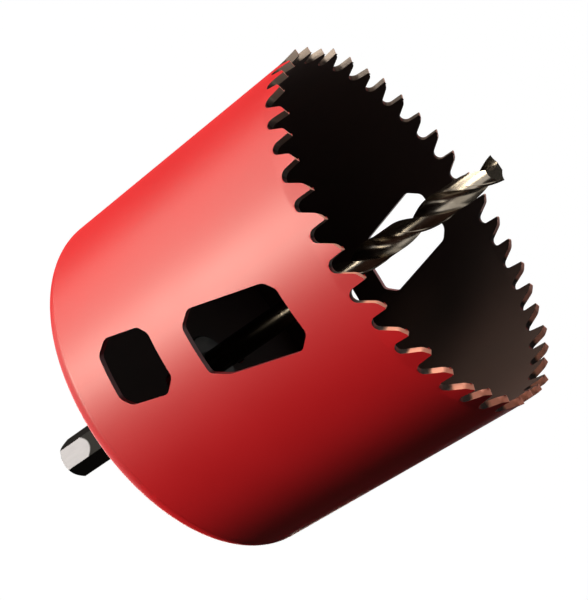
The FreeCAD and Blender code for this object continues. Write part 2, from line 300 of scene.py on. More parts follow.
def slot_corner(half, sideways, up, cut):
    """Both ends of one cut-off corner, first on the slot's leaning side and then on its end."""
    on_side = half - cut[1] * SLOT_SIDE
    return [(sideways * SLOT_WIDTH / 2 + up * on_side * SLOT_LEAN, up * on_side),
            (sideways * (SLOT_WIDTH / 2 - cut[0]) + up * half * SLOT_LEAN, up * half)]


def select_long_edges(piece, axis, length):
    """In edit mode, select only the edges that run further than a length along one axis."""
    bpy.ops.mesh.select_mode(type="EDGE")
    bpy.ops.mesh.select_all(action="DESELECT")
    shape = bmesh.from_edit_mesh(piece.data)
    for edge in shape.edges:
        edge.select = abs((edge.verts[0].co - edge.verts[1].co)[axis]) > length * MM
    bmesh.update_edit_mesh(piece.data)


def slot_bar(name, place, rear_cut):
    """A bar of the slot's outline along +X, at the slot's height, with rounded corners."""
    height, length = place
    half = length / 2
    points = slot_corner(half, -1, 1, BLUNT_CUT) + slot_corner(half, 1, 1, SHARP_CUT)[::-1]
    points += slot_corner(half, 1, -1, rear_cut) + slot_corner(half, -1, -1, SHARP_CUT)[::-1]
    bar = draw_outline(name, [(SLOT_BAR_START, y, height + z) for y, z in points])
    push_out(bar, (SLOT_BAR_LENGTH, 0, 0))
    bpy.ops.object.mode_set(mode="EDIT")
    select_long_edges(bar, 0, SLOT_BAR_LENGTH - 1)
    bpy.ops.mesh.bevel(offset=SLOT_ROUND * MM, segments=4, affect="EDGES")
    bpy.ops.object.mode_set(mode="OBJECT")
    return bar


long_bar = slot_bar("long_bar", LONG_SLOT, LONG_REAR_CUT)
short_bar = slot_bar("short_bar", SHORT_SLOT, BLUNT_CUT)
drift = math.degrees((SHORT_SLOT[0] - LONG_SLOT[0]) * SLOT_LEAN / OUTER)
bars = []
for turn, rise in ((-90, 0.0), (90, FAR_RISE)):
    bars.append(turned_copy(long_bar, turn, rise))
    bars.append(turned_copy(short_bar, turn + drift, rise))
for bar in (long_bar, short_bar):
    bpy.data.objects.remove(bar, do_unlink=True)
combined(wall, joined(bars, "bars"), "DIFFERENCE")
print("faces after the slots:", len(wall.data.polygons))

# %% [markdown]
# The teeth are set: one stays straight, the next leans out and the next leans in, so that the cut is wider
# than the wall. A point of the mesh leans by its height above the gullets, and its tooth says which way.
# Rings of edges are cut below the teeth first, because one long thin face would spread a bend in its
# shading down the whole wall.

# %% The set of the teeth
TOOTH_SET = 0.5
SET_PATTERN = (0, 1, -1)
GULLET_SHARE = 0.74
TOOTH_FOOT = RIM - TOOTH_HEIGHT
SHADING_RINGS = (WALL_BACK + 1, 80, 103.6, 110, TOOTH_FOOT - 1.0, TOOTH_FOOT - 0.3)


def ring_cuts(piece, heights):
    """Cut rings of edges round a piece at some heights."""
    only(piece)
    bpy.ops.object.mode_set(mode="EDIT")
    for height in heights:
        bpy.ops.mesh.select_all(action="SELECT")
        bpy.ops.mesh.bisect(plane_co=(0, 0, height * MM), plane_no=(0, 0, 1))
    bpy.ops.object.mode_set(mode="OBJECT")


def set_teeth(piece):
    """Lean every tooth by its turn in the pattern straight, out, in."""
    foot = TOOTH_FOOT * MM
    pitch = 360 / TOOTH_COUNT
    moved = 0
    for vertex in piece.data.vertices:
        rise = vertex.co.z - foot
        if rise <= 0:
            continue
        angle = math.degrees(math.atan2(vertex.co.y, vertex.co.x))
        number = math.floor((angle - TOOTH_TURN) / pitch + GULLET_SHARE) % TOOTH_COUNT
        lean = TOOTH_SET * MM * SET_PATTERN[number % 3] * rise / (TOOTH_HEIGHT * MM)
        radius = math.hypot(vertex.co.x, vertex.co.y)
        vertex.co.x *= (radius + lean) / radius
        vertex.co.y *= (radius + lean) / radius
        moved += lean != 0
    return moved


ring_cuts(wall, SHADING_RINGS)
print("points moved by the set:", set_teeth(wall))
finished(wall, ["cup_wall"])

# %% [markdown]
# ## The cap
# The cap closes the rear of the cup. It is turned on a lathe: a flange flush with the wall and rounded at
# its rear edge, and a step that the wall sits around. So half of its section is drawn and spun about the
# axis, as a lathe would cut it. Four holes take the drive pins.

# %% The cap
NOSE_RADIUS = 7.9375
PIN_CIRCLE = 15.0
PIN_HOLE = 3.3
PIN_STEPS = 48
CAP_CUT = (37, 57)
FLANGE_STEPS = 12


def revolve(piece, steps=ROUND_STEPS):
    """Turn a drawn outline about the tool's axis into a closed ring."""
    only(piece)
    bpy.ops.object.mode_set(mode="EDIT")
    bpy.ops.mesh.select_all(action="SELECT")
    bpy.ops.mesh.spin(steps=steps, angle=math.tau, center=(0, 0, 0), axis=(0, 0, 1))
    bpy.ops.mesh.select_all(action="SELECT")
    bpy.ops.mesh.remove_doubles(threshold=MERGE_DISTANCE * MM)
    bpy.ops.mesh.normals_make_consistent(inside=False)
    bpy.ops.object.mode_set(mode="OBJECT")
    return piece


section = [(NOSE_RADIUS, BACK), (NOSE_RADIUS, CAP_FRONT), (INNER, CAP_FRONT), (INNER, WALL_BACK)]
section += arc((OUTER - CAP_FLANGE, WALL_BACK), CAP_FLANGE, 0, -math.pi / 2, FLANGE_STEPS)
cap = revolve(draw_outline("red_cup_cap", [(r, 0, z) for r, z in section], fill=False))
holes = []
for k in range(4):
    turn = k * math.pi / 2
    holes.append(rod(PIN_HOLE, *CAP_CUT, PIN_STEPS, PIN_CIRCLE * math.cos(turn), PIN_CIRCLE * math.sin(turn)))
combined(cap, joined(holes, "holes"), "DIFFERENCE")
finished(cap, ["cup_cap"])

# %% [markdown]
# ## The pilot drill
# A twist drill has two lands with a narrow raised margin, and two hollow flutes between them. The section
# is drawn once and pushed up to a straight bar. Twisting the bar gives the helix, just as the real drill
# could be twisted, and a cone under it makes the flutes fade into the round shank.

# %% The drill's section
DRILL_RADIUS = 3.175
DRILL_TIP = 139.5
DRILL_END = 19.3
LAND = math.radians(38.0)
MARGIN = math.radians(12.0)
MARGIN_STEP = 0.03
FLUTE_SHIFT = math.radians(8)
RELIEF_RADIUS = DRILL_RADIUS - 0.18
WEB = 0.65


def circle_through(a, b, c):
    """Middle and radius of the circle through three points."""
    ax, ay, bx, by, cx, cy = a[0], a[1], b[0], b[1], c[0], c[1]
    a2, b2, c2 = ax * ax + ay * ay, bx * bx + by * by, cx * cx + cy * cy
    d = 2 * (ax * (by - cy) + bx * (cy - ay) + cx * (ay - by))
    ux = (a2 * (by - cy) + b2 * (cy - ay) + c2 * (ay - by)) / d
    uy = (a2 * (cx - bx) + b2 * (ax - cx) + c2 * (bx - ax)) / d
    return (ux, uy), math.hypot(ax - ux, ay - uy)


def drill_section():
    """Points round the drill's section: margin, lip, flute and relieved land, twice."""
    points = []
    for side in (0, math.pi):
        points += arc((0, 0), RELIEF_RADIUS, side - LAND, side + LAND - MARGIN - MARGIN_STEP, 7)
        points += arc((0, 0), DRILL_RADIUS, side + LAND - MARGIN, side + LAND, 3)
        lip = points[-1]
        heel_turn = side + math.pi - LAND
        heel = (RELIEF_RADIUS * math.cos(heel_turn), RELIEF_RADIUS * math.sin(heel_turn))
        deep = side + math.pi / 2 + FLUTE_SHIFT
        middle, radius = circle_through(lip, (WEB * math.cos(deep), WEB * math.sin(deep)), heel)
        start = math.atan2(lip[1] - middle[1], lip[0] - middle[0])
        end = math.atan2(heel[1] - middle[1], heel[0] - middle[0])
        while end > start:
            end -= math.tau
        points += arc(middle, radius, start, end, 12)[1:-1]
    return points


print("points in the drill's section:", len(drill_section()))

# %% [markdown]
# The section starts turned back by as much as the twist will turn it, so that the point ends up at the
# angle it has on the real tool. The long edges are divided before the twist, because a face can't bend.

# %% The flutes
FLUTE_LENGTH = 62.0
FLUTE_LEAD = 37.0
FLUTE_TURN = 100.0
FLUTE_CUTS = 100
NEAR = 0.01

flute_foot = DRILL_TIP - FLUTE_LENGTH
start_turn = math.radians(FLUTE_TURN - 360 * FLUTE_LENGTH / FLUTE_LEAD)
turned_section = [(x * math.cos(start_turn) - y * math.sin(start_turn),
                   x * math.sin(start_turn) + y * math.cos(start_turn)) for x, y in drill_section()]
drill = draw_outline("pilot_twist_drill", [(x, y, flute_foot) for x, y in turned_section])
push_out(drill, (0, 0, FLUTE_LENGTH))
bpy.ops.object.mode_set(mode="EDIT")
select_long_edges(drill, 2, FLUTE_LENGTH - 1)
bpy.ops.mesh.subdivide(number_cuts=FLUTE_CUTS)
bpy.ops.object.mode_set(mode="OBJECT")
applied(drill, "SIMPLE_DEFORM", deform_method="TWIST", deform_axis="Z",
        angle=math.tau * FLUTE_LENGTH / FLUTE_LEAD)
tip_turn = [math.degrees(math.atan2(v.co.y, v.co.x)) for v in drill.data.vertices
            if v.co.z > (DRILL_TIP - NEAR) * MM and math.hypot(v.co.x, v.co.y) > (DRILL_RADIUS - NEAR) * MM]
print("margins at the point stand at", [round(t) for t in tip_turn])

# %% [markdown]
# The point is a roof of two sloping facets. The bar is long enough to be cut to it by intersecting it with
# a roof-shaped block, which also cuts the shank to length.

# %% The drill's shank and point
FLUTE_RUNOUT = 7.0
POINT_SLOPE = 0.79
POINT_TURN = FLUTE_TURN - 10.0
TURNED_STEPS = 96

plain_shank = rod(DRILL_RADIUS, DRILL_END, flute_foot, TURNED_STEPS)
bpy.ops.object.select_all(action="DESELECT")
bpy.ops.mesh.primitive_cone_add(vertices=TURNED_STEPS, radius1=DRILL_RADIUS * MM, radius2=WEB * MM,
                                depth=FLUTE_RUNOUT * MM,
                                location=(0, 0, (flute_foot + FLUTE_RUNOUT / 2) * MM))
fade = bpy.context.object
bpy.ops.object.transform_apply(location=True)
combined(drill, fade, "UNION")
combined(drill, plain_shank, "UNION")
reach = 2 * DRILL_RADIUS
eaves = DRILL_TIP - POINT_SLOPE * reach
drill_foot = DRILL_END + NEAR
gable = [(-reach, drill_foot), (reach, drill_foot), (reach, eaves), (0, DRILL_TIP), (-reach, eaves)]
roof = draw_outline("roof", [(x, -reach, z) for x, z in gable])
push_out(roof, (0, 2 * reach, 0))
roof_turned = turned_copy(roof, POINT_TURN)
bpy.data.objects.remove(roof, do_unlink=True)
combined(drill, roof_turned, "INTERSECT")
finished(drill, ["pilot_drill"], edge=0.0, smooth=24.0)

# %% [markdown]
# ## The arbor
# The arbor is turned from one bar: a hexagonal shank, a threaded body with two flats, and a threaded nose
# that carries the cup. A thread is a zigzag line that climbs by one pitch in every turn. The line is closed
# on its inner side, so that one turn with the Screw modifier gives a whole ring of thread, and only the two
# steps at its ends have to be filled. Each ring is then cut to the length that the real thread has.

# %% Threads
BODY_RADIUS = 9.525
BODY_PITCH = 1.5875
BODY_THREAD_DEPTH = 0.85
BODY_THREAD_START = 18.0
BODY_TURNS = 13
NOSE_PITCH = 1.411
NOSE_THREAD_DEPTH = 0.75
NOSE_THREAD_START = 47.0
NOSE_TURNS = 6
PLATE_BACK = 36.0
NOSE_END = 53.0
BORE = 3.225
THREAD_INSIDE = BORE + 0.5
THREAD_STEPS = 64
THREAD_MERGE = 0.002
RISE_START, CREST_START, CREST_END = 0.12, 0.5, 0.62
WIDE = 12
BODY_THREAD_ZONE = (20.4, PLATE_BACK - 0.2)
NOSE_THREAD_ZONE = ((4.5, 50.6), (8.4, 50.6), (8.4, NOSE_END - 1.1), (7.3, NOSE_END), (4.5, NOSE_END))


def thread(name, crest, root, pitch, bottom, turns):
    """A closed ring of thread between two radii, a few turns long."""
    points = []
    for k in range(turns):
        z = bottom + k * pitch
        points += [(root, 0, z), (root, 0, z + RISE_START * pitch),
                   (crest, 0, z + CREST_START * pitch), (crest, 0, z + CREST_END * pitch)]
    points.append((root, 0, bottom + turns * pitch))
    points += [(THREAD_INSIDE, 0, bottom + k * pitch) for k in range(turns, -1, -1)]
    ring = draw_outline(name, points, fill=False)
    applied(ring, "SCREW", axis="Z", angle=math.tau, screw_offset=pitch * MM,
            steps=THREAD_STEPS, render_steps=THREAD_STEPS)
    bpy.ops.object.mode_set(mode="EDIT")
    bpy.ops.mesh.select_all(action="SELECT")
    bpy.ops.mesh.remove_doubles(threshold=THREAD_MERGE * MM)
    bpy.ops.mesh.fill_holes(sides=0)
    bpy.ops.mesh.select_all(action="SELECT")
    bpy.ops.mesh.normals_make_consistent(inside=False)
    bpy.ops.object.mode_set(mode="OBJECT")
    return ring


body_thread = thread("body_thread", BODY_RADIUS, BODY_RADIUS - BODY_THREAD_DEPTH, BODY_PITCH,
                     BODY_THREAD_START, BODY_TURNS)
combined(body_thread, rod(WIDE, *BODY_THREAD_ZONE, TURNED_STEPS), "INTERSECT")
nose_thread = thread("nose_thread", NOSE_RADIUS, NOSE_RADIUS - NOSE_THREAD_DEPTH, NOSE_PITCH,
                     NOSE_THREAD_START, NOSE_TURNS)
limit = revolve(draw_outline("limit", [(r, 0, z) for r, z in NOSE_THREAD_ZONE], fill=False), TURNED_STEPS)
combined(nose_thread, limit, "INTERSECT")
print("thread faces:", len(body_thread.data.polygons), len(nose_thread.data.polygons))

# %% [markdown]
# The turned parts between the threads are one outline revolved about the axis. The rings of thread join it
# first, and the two flats for the drive plate are then cut through body and thread at once, as a mill does,
# so that no two faces have to lie in one plane. The shank is a hexagonal bar whose rear corners are trimmed
# by a cone. It gets its rounded edges before it joins the body, because the small faces of the threads
# leave a bevel on the whole arbor no room.

# %% The shank, the body and the nose
SHANK_LENGTH = 17.0
SHANK_FLATS = 9.525
SHANK_TURN = 18.8
BODY_FLATS = 16.5
CONE_SLOPE = 0.58
GROOVE = (18.1, 19.3)
GROOVE_FLOOR = BODY_RADIUS - 0.6
THREAD_FLOOR = BODY_RADIUS - 0.8
NOSE_NECK = NOSE_RADIUS - 0.7
SHANK_ROOT = 4.2
SHANK_CONE = 4.6
SHANK_CONE_REACH = 3.4
SHANK_CONE_SLOPE = 1.0
SCREW_HEIGHT = 22.8
SCREW_RADIUS = 2.5
SCREW_STEPS = 48


def between_flats(bottom, top, spare=0.0):
    """A block as thick as the body is across its two flats, from one height to another."""
    bpy.ops.object.select_all(action="DESELECT")
    bpy.ops.mesh.primitive_cube_add(size=MM, location=(0, 0, (bottom + top) / 2 * MM))
    block = bpy.context.object
    block.scale = (2 * WIDE, BODY_FLATS + 2 * spare, top - bottom)
    bpy.ops.object.transform_apply(location=True, scale=True)
    return block


def hexagon(flats, bottom, top, turn):
    """A six-sided bar with the middle of one flat at the angle turn."""
    bar = rod(flats / math.sqrt(3), bottom, top, 6)
    corner = math.degrees(math.atan2(bar.data.vertices[0].co.y, bar.data.vertices[0].co.x))
    bar.rotation_euler.z = math.radians(turn + 30 - corner)
    bpy.ops.object.transform_apply(rotation=True)
    return bar


def cone_ring(name, radius, height, reach, way, slope=CONE_SLOPE):
    """A ring that cuts the corners of a bar: its cone starts at a radius and a height and widens."""
    points = [(radius, 0, height), (radius, 0, height + way), (radius + reach, 0, height + way),
              (radius + reach, 0, height - way * slope * reach)]
    return revolve(draw_outline(name, points, fill=False), TURNED_STEPS)


rear = SHANK_LENGTH
turned_outline = [(BORE, rear - 2), (SHANK_ROOT, rear - 2), (SHANK_ROOT, rear),
                  (BODY_RADIUS - 0.5, rear), (BODY_RADIUS, rear + 0.5),
                  (BODY_RADIUS, GROOVE[0]), (GROOVE_FLOOR, GROOVE[0]), (GROOVE_FLOOR, GROOVE[1]),
                  (BODY_RADIUS, GROOVE[1]), (BODY_RADIUS, 20.2), (THREAD_FLOOR, 21.0),
                  (THREAD_FLOOR, PLATE_BACK - 0.8), (BODY_RADIUS, PLATE_BACK), (BODY_RADIUS, BACK),
                  (NOSE_RADIUS, BACK), (NOSE_RADIUS, CAP_FRONT - 0.2), (NOSE_NECK, CAP_FRONT + 0.3),
                  (NOSE_NECK, NOSE_END), (BORE, NOSE_END)]
body = draw_outline("threaded_arbor", [(r, 0, z) for r, z in turned_outline], fill=False)
revolve(body, TURNED_STEPS)
for ring in (body_thread, nose_thread):
    combined(body, ring, "UNION")
combined(body, between_flats(rear - 3, NOSE_END + 1), "INTERSECT")
shank = hexagon(SHANK_FLATS, 0, rear + 1, SHANK_TURN)
shank_cone = cone_ring("shank_cone", SHANK_CONE, 0.0, SHANK_CONE_REACH, -1, SHANK_CONE_SLOPE)
combined(shank, shank_cone, "DIFFERENCE")
rounded(shank, EDGE_ROUND, 28.0)
combined(body, shank, "UNION")
screw_circle = arc((0, 0), SCREW_RADIUS, 0, math.tau * (SCREW_STEPS - 1) / SCREW_STEPS, SCREW_STEPS - 1)
screw_hole = draw_outline("screw_hole", [(x, 0, SCREW_HEIGHT + z) for x, z in screw_circle])
push_out(screw_hole, (0, WIDE, 0))
combined(body, screw_hole, "DIFFERENCE")
finished(body, ["arbor_body"], edge=0.0, smooth=28.0)

# %% [markdown]
# ## The drive plate and the nut
# The plate slides on the body's flats, and its two pins reach into the cap, so that the arbor turns the
# cup. It is turned like the cap, and its hole has the section of the body with a little room around it.

# %% The drive plate
PLATE_RADIUS = 22.0
PLATE_HOLE = 6.0
PLATE_EDGE = 1
PLATE_STEPS = 128
PLATE_CUT = (30, 50)
PIN_SEAT = 3.12
SLIDE = 0.1

plate_outline = [(PLATE_HOLE, PLATE_BACK), (PLATE_RADIUS - PLATE_EDGE, PLATE_BACK),
                 (PLATE_RADIUS, PLATE_BACK + PLATE_EDGE), (PLATE_RADIUS, BACK), (PLATE_HOLE, BACK)]
plate = draw_outline("drive_plate_turned", [(r, 0, z) for r, z in plate_outline], fill=False)
revolve(plate, PLATE_STEPS)
sliding_hole = rod(BODY_RADIUS + SLIDE, *PLATE_CUT, TURNED_STEPS)
combined(sliding_hole, between_flats(20, 60, SLIDE), "INTERSECT")
combined(plate, sliding_hole, "DIFFERENCE")
for side in (-1, 1):
    combined(plate, rod(PIN_SEAT, *PLATE_CUT, PIN_STEPS, side * PIN_CIRCLE), "DIFFERENCE")
finished(plate, ["drive_plate"], smooth=28.0)

# %% [markdown]
# The nut behind the plate presses it against the cap. Both faces of a nut are turned, so its corners are
# bevelled to arcs on each side. Each bevel is cut by a ring with a cone inside.

# %% The nut
NUT_BACK = 27.0
NUT_FLATS = 28.575
NUT_TURNED = NUT_FLATS / 2 - 0.4
NUT_REACH = 6.0
NUT_THREAD = 0.1
NUT_CUT = (22, 42)

nut = hexagon(NUT_FLATS, NUT_BACK, PLATE_BACK, 30.0)
nut.name = "lock_nut_bevelled"
combined(nut, cone_ring("rear_cone", NUT_TURNED, NUT_BACK, NUT_REACH, -1), "DIFFERENCE")
combined(nut, cone_ring("front_cone", NUT_TURNED, PLATE_BACK, NUT_REACH, 1), "DIFFERENCE")
combined(nut, rod(BODY_RADIUS - NUT_THREAD, *NUT_CUT, TURNED_STEPS), "DIFFERENCE")
finished(nut, ["lock_nut"], edge=0.15, smooth=28.0)

# %% [markdown]
# ## Finishes
# Each finish is a Principled shader fed by small patterns in the piece's own coordinates. A few helpers
# make the nodes, and a number that is the same all over the surface stays on the shader's own socket.


# %% Helpers for finishes
def new_finish(name):
    """A material, its node tree and its shader node."""
    finish = bpy.data.materials.new(name)
    finish.use_nodes = True
    return finish, finish.node_tree, finish.node_tree.nodes["Principled BSDF"]


def add(tree, kind, settings=None, **inputs):
    """A node with settings, and with each input given a value or a link. i0 means the first input."""
    node = tree.nodes.new(kind)
    for key, value in (settings or {}).items():
        setattr(node, key, value)
    for key, value in inputs.items():
        socket = node.inputs[int(key[1:])] if key[0] == "i" and key[1:].isdigit() else node.inputs[key]
        if isinstance(value, bpy.types.NodeSocket):
            tree.links.new(value, socket)
        else:
            socket.default_value = value
    return node


def maths(tree, operation, a, b=0.0):
    """One arithmetic node."""
    return add(tree, "ShaderNodeMath", {"operation": operation}, i0=a, i1=b).outputs[0]


def vector_maths(tree, operation, a, b=(0, 0, 0), output="Vector"):
    """One arithmetic node for directions."""
    return add(tree, "ShaderNodeVectorMath", {"operation": operation}, i0=a, i1=b).outputs[output]


def ramp(tree, value, low, high):
    """A smooth step from 0 at low to 1 at high."""
    settings = {"interpolation_type": "SMOOTHSTEP"}
    return add(tree, "ShaderNodeMapRange", settings, i0=value, i1=low, i2=high, i3=0.0, i4=1.0).outputs[0]


def blend_colours(tree, share, a, b):
    """Colour a where the share is 0 and colour b where it is 1."""
    return add(tree, "ShaderNodeMix", {"data_type": "RGBA"}, i0=share, i6=a, i7=b).outputs[2]


def blend_values(tree, share, a, b):
    """Value a where the share is 0 and value b where it is 1."""
    return add(tree, "ShaderNodeMix", {"data_type": "FLOAT"}, i0=share, i2=a, i3=b).outputs[0]


def noise(tree, place, scale, detail=3.0, roughness=0.5):
    """Soft noise between 0 and 1."""
    return add(tree, "ShaderNodeTexNoise", None, Vector=place, Scale=scale, Detail=detail,
               Roughness=roughness).outputs[0]


def stretched(tree, place, x=1.0, y=1.0, z=1.0):
    """Coordinates scaled along the axes, so that a pattern is drawn out."""
    return add(tree, "ShaderNodeMapping", None, Vector=place, Scale=(x, y, z)).outputs[0]


def bump(tree, height, distance, strength=1.0):
    """A bumped normal."""
    return add(tree, "ShaderNodeBump", None, Height=height, Distance=distance, Strength=strength).outputs[0]


def dress(piece, finish):
    """Give a new piece its only finish."""
    piece.data.materials.clear()
    piece.data.materials.append(finish)


# %% [markdown]
# ## Red paint
# The cup is painted outside and left dark inside. One finish covers both sides: it compares the surface's
# normal with the direction away from the axis, so the inner side of the wall turns dark. The teeth are
# ground after painting. The backs of their points are worn paint on a warm, nearly dull metal, lightened
# to pale salmon by a painted highlight. The cutting faces are plain dark steel, and the gullets get painted
# shade. The cut faces of the slots get painted shade, a deeper red. The paint is dull in its colour, so its
# light falls off gently round the cup, and a slight peel in its surface breaks up the shine.

# %% The paint's colours and heights
PAINT_DEEP, PAINT_CLEAR = (0.71, 0.010, 0.017, 1), (0.77, 0.013, 0.022, 1)
INSIDE_DARK, INSIDE_BROWN = (0.026, 0.014, 0.011, 1), (0.050, 0.021, 0.016, 1)
TOOTH_BACK_WORN_AND_HIGHLIT_DEEP, TOOTH_BACK_WORN_AND_HIGHLIT_CLEAR = (0.84, 0.34, 0.22, 1), (0.92, 0.45, 0.34, 1)
GULLET_SHADE = (0.020, 0.011, 0.010, 1)
CUTTING_STEEL = (0.15, 0.125, 0.11, 1)
SLOT_FACE_SHADE = (0.26, 0.022, 0.030, 1)
CAP_FACE = ((CAP_FRONT - 0.3) * MM, (CAP_FRONT + 0.3) * MM)
TOOTH_ZONE = ((TOOTH_FOOT - 0.6) * MM, (TOOTH_FOOT + 0.2) * MM)
GULLET_SHADE_ZONE = ((RIM - 1.9) * MM, (TOOTH_FOOT + 1.5) * MM)
GULLET_SHADE_WAVE = 1.2 * MM

print("the ground teeth start in mm at", round(TOOTH_ZONE[0] / MM, 1))

# %% [markdown]
# The shader asks two things of each point: how high it lies, and how far its surface looks outwards, which
# is 1 straight away from the axis and -1 straight towards it. A ramp turns such a number into a share
# between 0 and 1, and the share blends two colours, so that no border in the paint is a hard line.


# %% The paint
def red_paint():
    """Paint outside, a dark inside, and bare metal with painted light and shade on the ground teeth."""
    finish, tree, shader = new_finish("red_paint")
    place = add(tree, "ShaderNodeTexCoord").outputs["Object"]
    axes = add(tree, "ShaderNodeSeparateXYZ", None, Vector=place)
    height = axes.outputs[2]
    from_axis = add(tree, "ShaderNodeCombineXYZ", None, X=axes.outputs[0], Y=axes.outputs[1], Z=0.0)
    away = vector_maths(tree, "NORMALIZE", from_axis.outputs[0])
    onward = vector_maths(tree, "CROSS_PRODUCT", (0, 0, 1), away)
    normal = add(tree, "ShaderNodeNewGeometry").outputs["Normal"]
    outward = vector_maths(tree, "DOT_PRODUCT", normal, away, "Value")
    along = vector_maths(tree, "DOT_PRODUCT", normal, onward, "Value")
    upward = add(tree, "ShaderNodeSeparateXYZ", None, Vector=normal).outputs[2]

    # The inside is the wall's inner side and the cap's front face.
    on_cap = maths(tree, "MULTIPLY", maths(tree, "GREATER_THAN", height, CAP_FACE[0]),
                   maths(tree, "LESS_THAN", height, CAP_FACE[1]))
    cap_inside = maths(tree, "MULTIPLY", on_cap, ramp(tree, upward, 0.4, 0.7))
    inside = maths(tree, "MAXIMUM", ramp(tree, outward, -0.35, -0.6), cap_inside)

    # A cut face looks neither outwards nor inwards. Near the rim it belongs to a tooth, else to a slot.
    sideways = maths(tree, "SUBTRACT", 1.0, maths(tree, "ABSOLUTE", outward))
    near_rim = ramp(tree, height, *TOOTH_ZONE)
    ground = maths(tree, "MULTIPLY", ramp(tree, sideways, 0.2, 0.35), near_rim)
    below_rim = maths(tree, "SUBTRACT", 1.0, near_rim)
    # The slots' cut faces get painted shade, a deeper red than the paint.
    slot_face_shade = maths(tree, "MULTIPLY", ramp(tree, sideways, 0.45, 0.75), below_rim)
    rake = ramp(tree, along, 0.35, 0.70)
    # Painted shade: the gullets turn dark below a wavy line under the points, a share held in scale.
    wave = maths(tree, "MULTIPLY", noise(tree, place, 700.0), GULLET_SHADE_WAVE)
    scale = ramp(tree, maths(tree, "ADD", height, wave), *GULLET_SHADE_ZONE)

    mottle = noise(tree, place, 55.0, 2.0)
    stain = noise(tree, stretched(tree, place, 1, 1, 0.35), 70.0, 4.0, 0.6)
    colour = blend_colours(tree, mottle, PAINT_DEEP, PAINT_CLEAR)
    colour = blend_colours(tree, slot_face_shade, colour, SLOT_FACE_SHADE)
    colour = blend_colours(tree, inside, colour, blend_colours(tree, stain, INSIDE_DARK, INSIDE_BROWN))
    # The backs of the points are worn paint on warm metal, lightened to pale salmon by a painted highlight.
    metal = blend_colours(tree, noise(tree, place, 900.0), TOOTH_BACK_WORN_AND_HIGHLIT_DEEP, TOOTH_BACK_WORN_AND_HIGHLIT_CLEAR)
    metal = blend_colours(tree, scale, metal, GULLET_SHADE)
    metal = blend_colours(tree, rake, metal, CUTTING_STEEL)
    rough = blend_values(tree, inside, blend_values(tree, mottle, 0.43, 0.48), 0.85)
    rough = blend_values(tree, ground, rough, blend_values(tree, scale, 0.5, 0.95))
    metallic = maths(tree, "MULTIPLY", ground, blend_values(tree, rake, 0.08, 0.7))
    tree.links.new(blend_colours(tree, ground, colour, metal), shader.inputs["Base Color"])
    tree.links.new(metallic, shader.inputs["Metallic"])
    tree.links.new(rough, shader.inputs["Roughness"])
    tree.links.new(bump(tree, noise(tree, place, 260.0, 2.0), 0.02 * MM, 0.35), shader.inputs["Normal"])
    shader.inputs["Specular IOR Level"].default_value = 0.50
    shader.inputs["Diffuse Roughness"].default_value = 1.0
    return finish


paint = red_paint()
for piece in (wall, cap):
    dress(piece, paint)
print("nodes in the paint:", len(paint.node_tree.nodes))

# %% [markdown]
# ## Steel
# Drill steel is ground and shows fine streaks, with a straw tint left by the hardening. Towards its foot it
# darkens, partly black oxide and partly painted shade for the dark inside of the cup. On the last few
# millimetres of the shank, every second flat is painted light up to a curved line, and the other flats and
# the shank beyond that line are near black, painted shade and the cup's painted shadow. The other small
# pieces are blackened, and the pins and the snap ring are bright.

# %% The steels
SHANK_PAINTED_SHADE = (0.008, 0.0075, 0.0075, 1)
LIT_FLAT_DEEP, LIT_FLAT_CLEAR = (0.54, 0.55, 0.63, 1), (0.66, 0.67, 0.76, 1)
LIT_FLAT_ROUGHNESS = 0.62
LIT_FLAT_WAVE = 0.5 * MM
LIT_FLAT_BOW = 260.0
FOOT_OXIDE_AND_SHADE = (0.07, 0.06, 0.045, 1)
FOOT_SHADE_WAVE = 6.0 * MM
FOOT_SHADE_REACH = 24


def painted_shank_light(tree, shader, place, colour, rough, metallic, bright_end):
    """Shank colour and roughness: painted light on alternate flats to a height, painted shade elsewhere."""
    axes = add(tree, "ShaderNodeSeparateXYZ", None, Vector=place)
    wave = maths(tree, "MULTIPLY", noise(tree, place, 300.0), LIT_FLAT_WAVE)
    squares = [maths(tree, "POWER", axes.outputs[k], 2.0) for k in (0, 1)]
    from_flat = maths(tree, "SUBTRACT", maths(tree, "ADD", *squares), (SHANK_FLATS / 2 * MM) ** 2)
    level = maths(tree, "ADD", maths(tree, "ADD", axes.outputs[2], wave),
                  maths(tree, "MULTIPLY", from_flat, LIT_FLAT_BOW))
    beyond = ramp(tree, level, (bright_end - 0.3) * MM, (bright_end + 0.4) * MM)
    # Three times the turn about the axis is the same on every second flat.
    turn = maths(tree, "ARCTAN2", axes.outputs[1], axes.outputs[0])
    turn = maths(tree, "SUBTRACT", maths(tree, "MULTIPLY", turn, 3.0), math.radians(3 * SHANK_TURN))
    # Painted light on alternate flats below a curved line; elsewhere painted shade and the cup's painted
    # shadow.
    shaded_flat = ramp(tree, maths(tree, "COSINE", turn), 0.10, -0.10)
    painted_shade_part = maths(tree, "MAXIMUM", beyond, shaded_flat)
    on_shank = maths(tree, "LESS_THAN", axes.outputs[2], (SHANK_LENGTH - 0.05) * MM)
    off_shank = maths(tree, "SUBTRACT", 1.0, on_shank)
    tree.links.new(maths(tree, "MULTIPLY", off_shank, metallic), shader.inputs["Metallic"])
    scuffs = noise(tree, stretched(tree, place, 1, 1, 0.3), 900.0)
    lit_flat = blend_colours(tree, scuffs, LIT_FLAT_DEEP, LIT_FLAT_CLEAR)
    colour = blend_colours(tree, painted_shade_part, lit_flat, blend_colours(tree, on_shank, colour, SHANK_PAINTED_SHADE))
    return colour, blend_values(tree, painted_shade_part, LIT_FLAT_ROUGHNESS, rough)


